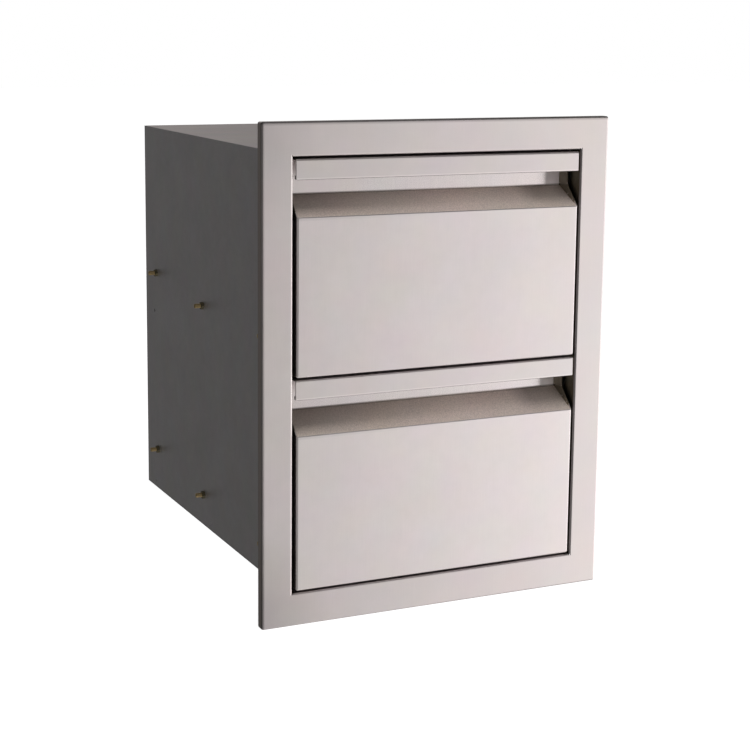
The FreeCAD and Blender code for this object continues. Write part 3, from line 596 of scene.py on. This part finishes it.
class Work:
    """A mesh in the making, with the few shapes that this unit's small parts need."""

    def __init__(self) -> None:
        """Start with an empty mesh."""
        self.bm = bmesh.new()

    def edges_of(self, verts: list[bmesh.types.BMVert]) -> list[bmesh.types.BMEdge]:
        """The edges that join these vertices to one another."""
        return [edge for edge in self.bm.edges if edge.verts[0] in verts and edge.verts[1] in verts]

    def turned(self, outline: list[Pair], steps: int) -> list[bmesh.types.BMVert]:
        """Turn an outline of (radius, height) pairs about Z into a closed shape.

        Args:
            outline: the half section, from one end on the axis to the other.
            steps: how many segments go round.

        Returns:
            The new vertices.
        """
        before = set(self.bm.verts)
        row = [self.bm.verts.new((radius, 0.0, height)) for radius, height in outline]
        for first, second in zip(row, row[1:]):
            self.bm.edges.new((first, second))
        bmesh.ops.spin(self.bm, geom=row + self.edges_of(row), cent=(0, 0, 0), axis=(0, 0, 1), dvec=(0, 0, 0),
                       angle=math.tau, steps=steps, use_merge=True, use_duplicate=False)
        fresh = [vert for vert in self.bm.verts if vert not in before]
        bmesh.ops.remove_doubles(self.bm, verts=fresh, dist=SAME_SPOT)
        return [vert for vert in self.bm.verts if vert not in before]

    def thread(self, root: float, crest: float, pitch: float, start: float, turns: float,
               steps: int = 14) -> None:
        """Wind a closed V ridge round the Z axis.

        Args:
            root: radius at the thread's root.
            crest: radius at its crest.
            pitch: rise of one turn.
            start: height where it begins.
            turns: how many turns it makes.
            steps: segments of one turn.
        """
        sunk, wide = root * THREAD_SUNK, pitch * THREAD_WIDE
        corners = [(sunk, 0, start), (crest, 0, start + wide / 2), (sunk, 0, start + wide)]
        face = self.bm.faces.new([self.bm.verts.new(corner) for corner in corners])
        count = round(turns * steps)
        bmesh.ops.spin(self.bm, geom=[face, *face.edges, *face.verts], cent=(0, 0, 0), axis=(0, 0, 1),
                       dvec=(0, 0, pitch / steps), angle=math.tau * count / steps, steps=count,
                       use_merge=False, use_duplicate=False)

    def drawn_out(self, faces: list[bmesh.types.BMFace], by: Triple) -> list[bmesh.types.BMVert]:
        """Extrude faces.

        Args:
            faces: the faces to draw out together.
            by: how far, and which way, the new faces move.

        Returns:
            The new vertices.
        """
        drawn = bmesh.ops.extrude_face_region(self.bm, geom=faces)["geom"]
        moved = [item for item in drawn if isinstance(item, bmesh.types.BMVert)]
        bmesh.ops.translate(self.bm, verts=moved, vec=by)
        return moved

    def plate(self, outline: list[Triple], by: Triple) -> None:
        """Add a plate: one face with these corners, drawn out."""
        self.drawn_out([self.bm.faces.new([self.bm.verts.new(corner) for corner in outline])], by)

    def soften(self, edges: list[bmesh.types.BMEdge], offset: float, segments: int) -> None:
        """Round edges."""
        bmesh.ops.bevel(self.bm, geom=edges, offset=offset, offset_type="OFFSET", affect="EDGES",
                        segments=segments, profile=0.5, material=-1, clamp_overlap=True)

    def block(self, centre: Triple, size: Triple, rounding: float, segments: int) -> None:
        """Add a box with rounded edges.

        Args:
            centre: its middle.
            size: its extents along X, Y and Z.
            rounding: its edges' radius.
            segments: faces across each rounded edge.
        """
        shape = Matrix.Translation(centre) @ Matrix.Diagonal(size).to_4x4()
        corners = bmesh.ops.create_cube(self.bm, size=1.0, matrix=shape)["verts"]
        self.soften(self.edges_of(corners), rounding, segments)

    def ball(self, centre: Triple, radius: float) -> None:
        """Add a small ball."""
        bmesh.ops.create_icosphere(self.bm, subdivisions=2, radius=radius, matrix=Matrix.Translation(centre))

    def copy_to(self, spots: list[Matrix]) -> None:
        """Put a copy of everything made so far at each spot, in place of the original.

        Args:
            spots: where the copies stand.
        """
        mesh = bpy.data.meshes.new("copy")
        self.bm.to_mesh(mesh)
        self.bm.clear()
        for spot in spots:
            before = set(self.bm.verts)
            self.bm.from_mesh(mesh)
            fresh = [vert for vert in self.bm.verts if vert not in before]
            bmesh.ops.transform(self.bm, matrix=spot, verts=fresh)
        bpy.data.meshes.remove(mesh)

    def finish(self, name: str, body: str, slot: str, finish: Finish, *replaced: str) -> None:
        """Turn the mesh into a piece of the scene, at the origin, with its place in its mesh.

        Args:
            name: the piece's name.
            body: the body that it moves with.
            slot: the record's material slot; not used.
            finish: what it is made of.
            replaced: nodes of the construction model that it stands for.
        """
        bmesh.ops.recalc_face_normals(self.bm, faces=self.bm.faces)
        mesh = bpy.data.meshes.new(name)
        self.bm.to_mesh(mesh)
        self.bm.free()
        mesh.shade_smooth()
        mesh.set_sharp_from_angle(angle=SHARP_ANGLE)
        piece = linked(name, mesh)
        PAINT.dress(piece, finish)
        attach(piece, body)
        if replaced:
            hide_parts(*replaced)
        LOG.info("piece %s on %s: %d faces", name, body, len(mesh.polygons))


def facing(direction: Triple, spot: Triple, nose: str = "Z") -> Matrix:
    """The transform that turns a nose axis to a direction and moves the origin to a spot."""
    return Matrix.Translation(spot) @ Vector(direction).to_track_quat(nose, "Y").to_matrix().to_4x4()


def beside(side: Side, out: float, deep: float, high: float) -> Matrix:
    """The transform that turns +Z outwards and moves the origin to a spot on one side of the unit."""
    return facing((side.value, 0, 0), (side.value * out, deep, high))


@dataclass(frozen=True)
class SoftArea:
    """One soft light area of the studio, as seen from the unit.

    Azimuth, elevation, edge and core are degrees. Azimuth counts from the front to the right.
    """

    azimuth: float
    elevation: float
    level: float
    edge: float = 34.0
    core: float = 4.0

    def share(self, nodes: Nodes, direction: Socket) -> Socket:
        """Its light in one direction.

        Args:
            nodes: the world's nodes.
            direction: where a ray goes.

        Returns:
            Its level there, full inside the core angle and fading out at the edge angle.
        """
        turn, rise = math.radians(self.azimuth), math.radians(self.elevation)
        middle = (math.sin(turn) * math.cos(rise), -math.cos(turn) * math.cos(rise), math.sin(rise))
        cosine = nodes.add("VectorMath", {0: direction, 1: middle}, operation="DOT_PRODUCT").outputs["Value"]
        mapped = {"Value": cosine, "From Min": math.cos(math.radians(self.edge)),
                  "From Max": math.cos(math.radians(self.core)), "To Min": 0.0, "To Max": self.level}
        return nodes.add("MapRange", mapped, interpolation_type="SMOOTHSTEP").outputs[0]


@dataclass(frozen=True)
class SoftLamp:
    """A square soft lamp that matt surfaces show and polished ones don't mirror."""

    name: str = "front_softbox"
    place: Triple = (0.3, -1.67, 2.0)
    target: Triple = (0.0, 0.0, 0.3)
    size: float = 3.4
    watts: float = 45.0
    colour: Triple = (1.0, 0.985, 0.97)

    def hang(self) -> None:
        """Add the lamp to the scene."""
        data = bpy.data.lights.new(self.name, "AREA")
        data.size = self.size
        data.energy = self.watts
        data.color = self.colour
        lamp = linked(self.name, data)
        lamp.visible_glossy = False
        lamp.matrix_world = facing(Vector(self.target) - Vector(self.place), self.place, "-Z")


@dataclass(frozen=True)
class Studio:
    """The camera, the pale floor and the soft light of the photograph."""

    camera_place: Triple = (-0.86407, -1.68365, 0.66545)
    camera_right: Triple = (0.9035, -0.4285, 0.0111)
    camera_forward: Triple = (0.4245, 0.8908, -0.16209)
    lens: float = 81.19
    sensor: float = 36.0
    shift: Pair = (-0.0151, -0.1038)
    floor_level: float = -4.2 * MM
    floor_half: float = 14.0
    floor_grey: float = 0.86
    floor_glow: float = 0.85
    ambient: float = 0.06
    ambient_colour: Triple = (1.0, 0.985, 0.975)
    lamp: SoftLamp = SoftLamp()
    areas: tuple[SoftArea, ...] = (
        SoftArea(40.0, -10.0, 0.67),
        SoftArea(60.0, -10.0, 1.25),
        SoftArea(85.0, -10.0, 0.64),
        SoftArea(115.0, -10.0, 0.52),
        SoftArea(170.0, -10.0, 0.50),
        SoftArea(40.0, -45.0, 0.51),
        SoftArea(0.0, -90.0, 0.70, 50.0, 10.0),
        SoftArea(20.0, 25.0, 0.16, 44.0),
        SoftArea(180.0, 25.0, 0.28),
        SoftArea(158.0, 12.0, 0.15),
        SoftArea(-62.0, 12.0, 0.34, 36.0, 6.0),
        SoftArea(0.0, 85.0, 0.42, 34.0, 6.0),
        SoftArea(-40.0, -36.0, 0.45, 34.0, 6.0),
    )

    def camera(self) -> None:
        """Set the camera where the photograph was taken from."""
        data = bpy.data.cameras.new("photo_camera")
        data.lens = self.lens
        data.sensor_width = self.sensor
        data.shift_x, data.shift_y = self.shift
        seen = linked("photo_camera", data)
        forward = Vector(self.camera_forward).normalized()
        right = Vector(self.camera_right)
        right = (right - right.dot(forward) * forward).normalized()
        up = right.cross(forward)
        turned = Matrix((right, up, -forward)).transposed().to_4x4()
        seen.matrix_world = Matrix.Translation(self.camera_place) @ turned
        bpy.context.scene.camera = seen

    def floor(self) -> None:
        """Lay a pale floor that keeps a light shadow."""
        bm = bmesh.new()
        bmesh.ops.create_grid(bm, x_segments=1, y_segments=1, size=self.floor_half,
                              matrix=Matrix.Translation((0, 0, self.floor_level)))
        mesh = bpy.data.meshes.new("floor")
        bm.to_mesh(mesh)
        bm.free()
        floor = linked("floor", mesh)
        made = bpy.data.materials.new("floor_paper")
        nodes = Nodes(made)
        seen = nodes.add("LightPath").outputs["Is Camera Ray"]
        paper = nodes.add("BsdfDiffuse", {"Color": (*(self.floor_grey,) * 3, 1.0)})
        white = nodes.add("Emission", {"Color": (1.0, 1.0, 1.0, 1.0), "Strength": self.floor_glow})
        both = nodes.add("AddShader", {0: paper.outputs[0], 1: white.outputs[0]})
        mixed = nodes.add("MixShader", {0: seen, 1: paper.outputs[0], 2: both.outputs[0]})
        nodes.add("OutputMaterial", {"Surface": mixed.outputs[0]})
        mesh.materials.append(made)
        floor.visible_glossy = floor.visible_shadow = False

    def world(self) -> None:
        """Light the unit from soft areas, on a white ground that only the camera sees."""
        world = bpy.data.worlds.new("studio")
        bpy.context.scene.world = world
        nodes = Nodes(world)
        direction = nodes.add("TexCoord").outputs["Generated"]
        level: float | Socket = self.ambient
        for area in self.areas:
            level = nodes.math("ADD", level, area.share(nodes, direction))
        studio = nodes.add("Background", {"Color": (*self.ambient_colour, 1.0), "Strength": level})
        white = nodes.add("Background", {"Color": (1.0, 1.0, 1.0, 1.0), "Strength": 1.0})
        seen = nodes.add("LightPath").outputs["Is Camera Ray"]
        mixed = nodes.add("MixShader", {0: seen, 1: studio.outputs[0], 2: white.outputs[0]})
        nodes.add("OutputWorld", {"Surface": mixed.outputs[0]})

    def build(self) -> None:
        """Make the camera, floor, world and lamp."""
        self.camera()
        self.floor()
        self.world()
        self.lamp.hang()
        bpy.context.scene.view_settings.view_transform = "Standard"
        LOG.info("studio built")


@dataclass(frozen=True)
class PanScrew:
    """A threaded screw along Z: a low domed head with a cross recess, its point downwards.

    The dome and the recess's core, arms and depth are in shares of the head's radius and height, and the root
    and the end are in shares of the shank's radius.
    """

    head_radius: float
    head_tall: float
    shank_radius: float
    pitch: float
    around: int = 16
    core: float = 0.24
    arm: float = 0.56
    deep: float = 0.55
    dome: tuple[Pair, ...] = ((0.0, 1.0), (core, 1.0), (arm, 0.92), (0.84, 0.68), (1.0, 0.2), (1.0, 0.0))
    root: float = 0.9
    end: float = 0.63
    point: float = 0.5 * MM
    thread_start: float = 0.3 * MM
    thread_spare: float = 1.2 * MM

    def draw(self, work: Work, seat: float, tip: float) -> None:
        """Add the screw.

        Args:
            work: the mesh to add to.
            seat: height of the head's underside.
            tip: height of the shank's end.
        """
        root, end = self.shank_radius * self.root, self.shank_radius * self.end
        head = [(self.head_radius * out, seat + self.head_tall * up) for out, up in self.dome]
        work.turned([*head, (root, seat), (root, tip + self.point), (end, tip), (0, tip)], self.around)
        cross = [
            face for face in work.bm.faces
            if face.calc_center_median().z > seat and self.in_recess(face.calc_center_median())
        ]
        work.drawn_out(cross, (0, 0, -self.head_tall * self.deep))
        work.thread(root, self.shank_radius, self.pitch, tip + self.thread_start,
                    (seat - tip - self.thread_spare) / self.pitch)

    def in_recess(self, spot: Vector) -> bool:
        """Whether a spot of the head's top belongs to the cross."""
        sector = math.floor(math.atan2(spot.y, spot.x) / (math.tau / self.around)) % self.around
        return spot.xy.length < self.head_radius * self.core or (
            spot.xy.length < self.head_radius * self.arm and sector % (self.around // 4) == 0)


@dataclass(frozen=True)
class Fasteners:
    """Slide bolts with their nuts on the cabinet's sides, the buffers, and the screws of the drawer boxes."""

    bolt: PanScrew = PanScrew(5.0 * MM, 1.0 * MM, 3.0 * MM, 1.0 * MM)
    bolt_along: Triple = (28.0 * MM, 244.3 * MM, 429.3 * MM)
    bolt_offsets: Triple = (-7.6 * MM, -7.6 * MM, 7.6 * MM)
    bolt_out: float = 11.5 * MM
    nut_flats: float = 8.7 * MM
    nut_thick: float = 3.6 * MM
    nut_around: int = 24
    nut_bore: float = 2.97 * MM
    nut_crown: float = 0.99
    nut_slope: float = 0.58
    screw: PanScrew = PanScrew(3.75 * MM, 1.8 * MM, 2.0 * MM, 0.8 * MM)
    runner_along: Triple = (30.0 * MM, 222.0 * MM, 414.0 * MM)
    runner_tip: float = 4.4 * MM
    front_across: tuple[float, ...] = (-120.0 * MM, -40.0 * MM, 40.0 * MM, 120.0 * MM)
    front_lift: float = 22.0 * MM
    front_tip: float = 3.5 * MM
    buffer_size: Triple = (7.0 * MM, 13.0 * MM, 14.0 * MM)
    buffer_drop: float = 1.0 * MM
    buffer_round: float = 1.3 * MM

    def bolt_spots(self, side: Side) -> list[Matrix]:
        """Where one side's bolts go through the wall's outer face, with +Z pointing outwards."""
        return [
            beside(side, LAYOUT.wall_outside, LAYOUT.slide_front + along,
                   level.value + LAYOUT.slide_lift + offset)
            for level in Level for along, offset in zip(self.bolt_along, self.bolt_offsets)
        ]

    def bolts(self, side: Side) -> None:
        """The threaded bolts of one side, their low heads inside the slides and their ends outside.

        Args:
            side: which side.
        """
        work = Work()
        self.bolt.draw(work, LAYOUT.slide_sheet + LAYOUT.wall_sheet, -self.bolt_out)
        work.bm.transform(Matrix.Rotation(math.pi, 4, "X"))
        work.copy_to(self.bolt_spots(side))
        work.finish(f"threaded_bolts_{side.word}", "cabinet", "bolt_yellow_zinc", BOLT_BRASS,
                    f"slide_bolts_{side.word}")

    def nuts(self, side: Side) -> None:
        """The hexagon nuts of one side, chamfered on their outer face.

        Args:
            side: which side.
        """
        work = Work()
        bm = work.bm
        half = self.nut_flats / 2
        outer = bmesh.ops.create_circle(bm, segments=self.nut_around, radius=half)["verts"]
        for vert in outer:
            angle = math.atan2(vert.co.y, vert.co.x) % (math.pi / 3) - math.pi / 6
            vert.co = vert.co.normalized() * (half / math.cos(angle))
        bmesh.ops.create_circle(bm, segments=self.nut_around, radius=self.nut_bore)
        bmesh.ops.bridge_loops(bm, edges=bm.edges[:])
        for vert in work.drawn_out(bm.faces[:], (0, 0, self.nut_thick)):
            vert.co.z -= max(vert.co.xy.length - half * self.nut_crown, 0.0) * self.nut_slope
        work.copy_to(self.bolt_spots(side))
        work.finish(f"hex_nuts_{side.word}", "cabinet", "nut_steel", NUT_PAINTED_SHADE, f"slide_nuts_{side.word}")

    def screws(self, level: Level) -> None:
        """The screws that hold both runners, and those that hold the folded front, to one drawer's box.

        Args:
            level: which drawer.
        """
        sets = {
            "runner": (LAYOUT.slide_sheet, self.runner_tip, [
                beside(side, LAYOUT.box_half, LAYOUT.slide_front + along, level.value + LAYOUT.slide_lift)
                for side in Side for along in self.runner_along
            ]),
            "front": (LAYOUT.wall_sheet, self.front_tip, [
                facing((0, 1, 0), (across, LAYOUT.box_front, level.value + self.front_lift))
                for across in self.front_across
            ]),
        }
        for use, (seat, tip, spots) in sets.items():
            work = Work()
            self.screw.draw(work, seat, -tip)
            work.copy_to(spots)
            work.finish(f"{use}_pan_screws_{level.word}", f"drawer_{level.word}", "screw_zinc", SCREW_ZINC,
                        f"{use}_screws_{level.word}")

    def buffers(self) -> None:
        """The moulded rubber blocks that stop the runners at the rear ends of the fixed channels."""
        work = Work()
        thick, long, tall = self.buffer_size
        for side in Side:
            for level in Level:
                centre = (side.value * (LAYOUT.channel_inside - thick / 2), LAYOUT.slide_rear - long / 2,
                          level.value + LAYOUT.slide_lift - self.buffer_drop - tall / 2)
                work.block(centre, self.buffer_size, self.buffer_round, 3)
        work.finish("rubber_buffers", "cabinet", "buffer_rubber", BUFFER_RUBBER, "slide_buffers")

    def build(self) -> None:
        """Make the bolts, nuts and buffers of both sides and the screws of both drawers."""
        for side in Side:
            self.bolts(side)
            self.nuts(side)
        self.buffers()
        for level in Level:
            self.screws(level)


@dataclass(frozen=True)
class Cabinet:
    """The picture frame round the drawers and the sheet cabinet behind it."""

    walls: tuple[str, ...] = ("side_left", "side_right", "bottom", "back")

    def build(self) -> None:
        """Dress the frame and the walls."""
        PAINT.nodes(FRAME_STEEL, "face_frame")
        PAINT.nodes(CABINET_STEEL, *(f"cabinet_{wall}" for wall in self.walls))
        PAINT.nodes(TOP_STEEL_PAINTED_LIGHT, "cabinet_top")


@dataclass(frozen=True)
class Lever:
    """One moulded release lever along X: a tapered plate with raised ribs and a pivot boss."""

    long: float
    tall: float
    thick: float
    taper_start: float = 0.6
    body_share: float = 0.65
    rib_share: float = 0.5
    ribs: tuple[Triple, ...] = ((8.0 * MM, 50.0 * MM, 1.0 * MM), (52.0 * MM, 59.0 * MM, 2.2 * MM))
    boss_along: float = 5.5 * MM
    boss_radius: float = 3.4 * MM
    boss_chamfer: float = 0.2 * MM
    bore_radius: float = 1.5 * MM
    bore_deep: float = 0.5 * MM
    bore_taper: float = 0.3 * MM
    corner_round: float = 1.6 * MM
    edge_round: float = 0.3 * MM
    rib_round: float = 0.25 * MM

    def draw(self, work: Work) -> None:
        """Add the lever.

        Args:
            work: the mesh to add to, which holds nothing yet.
        """
        half, neck, end = self.tall / 2, self.long * self.taper_start, self.long
        outline = [(0, -half), (neck, -half), (end, -half / 2), (end, half / 2), (neck, half), (0, half)]
        work.plate([(along, up, 0) for along, up in outline], (0, 0, self.thick * self.body_share))
        corners = [edge for edge in work.bm.edges if abs(edge.verts[0].co.z - edge.verts[1].co.z) > SAME_SPOT]
        work.soften(corners, self.corner_round, 4)
        rim = [edge for edge in work.bm.edges if min(vert.co.z for vert in edge.verts) > self.thick / 2]
        work.soften(rim, self.edge_round, 2)
        low, high = self.thick * self.rib_share, self.thick
        for start, end, reach in self.ribs:
            work.block(((start + end) / 2, 0, (low + high) / 2), (end - start, 2 * reach, high - low),
                       self.rib_round, 2)
        wide, bore, floor = self.boss_radius, self.bore_radius, high - self.bore_deep
        boss = work.turned([
            (0, low), (wide, low), (wide, high - self.boss_chamfer), (wide - self.boss_chamfer, high),
            (bore, high), (bore - self.bore_taper, floor), (0, floor),
        ], 20)
        bmesh.ops.translate(work.bm, verts=boss, vec=(self.boss_along, 0, 0))


@dataclass(frozen=True)
class Drawer:
    """One drawer: its folded front, its box, its welds and its release levers."""

    level: Level
    cheek_inside: float = 174.8 * MM
    dab_radius: float = 0.75 * MM
    dab_spots: tuple[Pair, ...] = ((7.9 * MM, 200.6 * MM), (24.9 * MM, 199.5 * MM), (24.9 * MM, 212.0 * MM),
                                   (6.0 * MM, 188.6 * MM), (-5.0 * MM, 183.0 * MM))
    spot_radius: float = 2.2 * MM
    spot_proud: float = 0.12 * MM
    spot_sunk: float = 0.3 * MM
    spot_bead: tuple[Pair, ...] = ((1.0, 0.3), (0.86, 1.0), (0.6, 0.35), (0.0, 0.2))
    spot_inset: float = 6.5 * MM
    spot_heights: tuple[float, ...] = (26.0 * MM, 62.0 * MM, 98.0 * MM, 134.0 * MM, 170.0 * MM)
    lever_deep: Pair = reach_of("release_levers_upper", Axis.DEEP)
    lever_high: Pair = reach_of("release_levers_upper", Axis.HIGH)
    lever_outside: float = reach_of("release_levers_upper", Axis.ACROSS)[1]
    lever_thick: float = 1.8 * MM

    @property
    def body(self) -> str:
        """The body that the drawer's pieces ride on."""
        return f"drawer_{self.level.word}"

    def weld_dabs(self) -> None:
        """The polished dabs of weld where each cheek's front edge turns, and along its root."""
        work = Work()
        for side in Side:
            for deep, up in self.dab_spots:
                work.ball((side.value * self.cheek_inside, deep, self.level.value + up), self.dab_radius)
        work.finish(f"weld_dabs_{self.level.word}", self.body, "front_steel", WELD_STEEL)

    def spot_welds(self) -> None:
        """The shallow spot welds that join the box's back pan to the tub's sides."""
        work = Work()
        bead = [(self.spot_radius * out, self.spot_proud * up) for out, up in self.spot_bead]
        work.turned([(0, -self.spot_sunk), (self.spot_radius, -self.spot_sunk), *bead], 20)
        work.copy_to([
            beside(side, LAYOUT.box_half, LAYOUT.box_back - self.spot_inset, self.level.value + up)
            for side in Side for up in self.spot_heights
        ])
        work.finish(f"spot_welds_{self.level.word}", self.body, "box_steel", WELD_STEEL)

    def levers(self) -> None:
        """The moulded release levers, one on the inner face of each runner."""
        start, end = self.lever_deep
        low, high = self.lever_high
        work = Work()
        Lever(end - start, high - low, self.lever_thick).draw(work)
        web = self.lever_outside - self.lever_thick
        work.copy_to([
            Matrix.Translation((side.value * web, start, self.level.value + LAYOUT.slide_lift))
            @ Matrix(((0, 0, side.value), (1, 0, 0), (0, 1, 0))).to_4x4()
            for side in Side
        ])
        work.finish(f"moulded_levers_{self.level.word}", self.body, "lever_plastic", LEVER_PLASTIC,
                    f"release_levers_{self.level.word}")

    def build(self) -> None:
        """Dress the front and box, and make the welds and levers."""
        word = self.level.word
        PAINT.nodes(FRONT_STEEL, f"drawer_front_{word}")
        PAINT.nodes(BOX_STEEL, f"drawer_tub_{word}", f"drawer_liner_{word}", f"drawer_back_{word}")
        self.weld_dabs()
        self.spot_welds()
        self.levers()


@dataclass(frozen=True)
class Slide:
    """One telescopic slide: three channels and two caged pairs of ball rows."""

    level: Level
    side: Side
    cage_deep: Pair = reach_of("outer_cage_upper_right", Axis.DEEP)
    cage_end: float = 10.0 * MM
    balls_per_row: int = 13
    ball_radius: float = 1.45 * MM
    sheet: float = 0.7 * MM
    arm: float = 0.8 * MM

    @property
    def word(self) -> str:
        """The slide's words in node names."""
        return f"{self.level.word}_{self.side.word}"

    @property
    def base(self) -> Matrix:
        """The transform to the slide's middle on the cabinet's wall."""
        across, high = self.side.value * LAYOUT.wall_inside, self.level.value + LAYOUT.slide_lift
        return Matrix.Translation((across, 0, high))

    def cage(self, row: BallRow) -> None:
        """A cage's strip, in place of its plain node.

        Args:
            row: which pair of ball rows it holds.
        """
        web, lift, reach = (size * MM for size in row.value)
        inward = -self.side.value
        start, end = self.cage_deep
        tip, low, high = reach + self.ball_radius, lift - self.arm / 2, lift + self.arm / 2
        upper = [(web + self.sheet, low), (tip, low), (tip, high), (web, high)]
        outline = upper + [(out, -up) for out, up in reversed(upper)]
        work = Work()
        work.plate([(inward * out, start, up) for out, up in outline], (0, end - start, 0))
        work.bm.transform(self.base)
        work.finish(f"{row.word}_cage_strip_{self.word}", f"{row.word}_balls_{self.word}", "cage_steel",
                    CAGE_STEEL, f"{row.word}_cage_{self.word}")

    def balls(self, row: BallRow) -> None:
        """A cage's balls, above and below the slide's middle.

        Args:
            row: which pair of ball rows they make.
        """
        _, lift, reach = (size * MM for size in row.value)
        start, end = self.cage_deep
        step = (end - start - 2 * self.cage_end) / (self.balls_per_row - 1)
        work = Work()
        for index in range(self.balls_per_row):
            for sign in (-1, 1):
                work.ball((-self.side.value * reach, start + self.cage_end + index * step, sign * lift),
                          self.ball_radius)
        work.bm.transform(self.base)
        name = f"{row.word}_balls_{self.word}"
        work.finish(name, name, "cage_steel", BALL_STEEL)

    def build(self) -> None:
        """Dress the channels and make the cages and their balls."""
        PAINT.nodes(SLIDE_ZINC, *(f"slide_{member}_{self.word}" for member in ("outer", "middle", "runner")))
        for row in BallRow:
            self.cage(row)
            self.balls(row)


def main() -> None:
    """Build the studio and dress the unit, from its frame inwards."""
    logging.basicConfig(level=logging.INFO, format="%(name)s: %(message)s")
    Studio().build()
    Cabinet().build()
    for level in Level:
        Drawer(level).build()
        for side in Side:
            Slide(level, side).build()
    Fasteners().build()


if __name__ == "__main__":
    main()
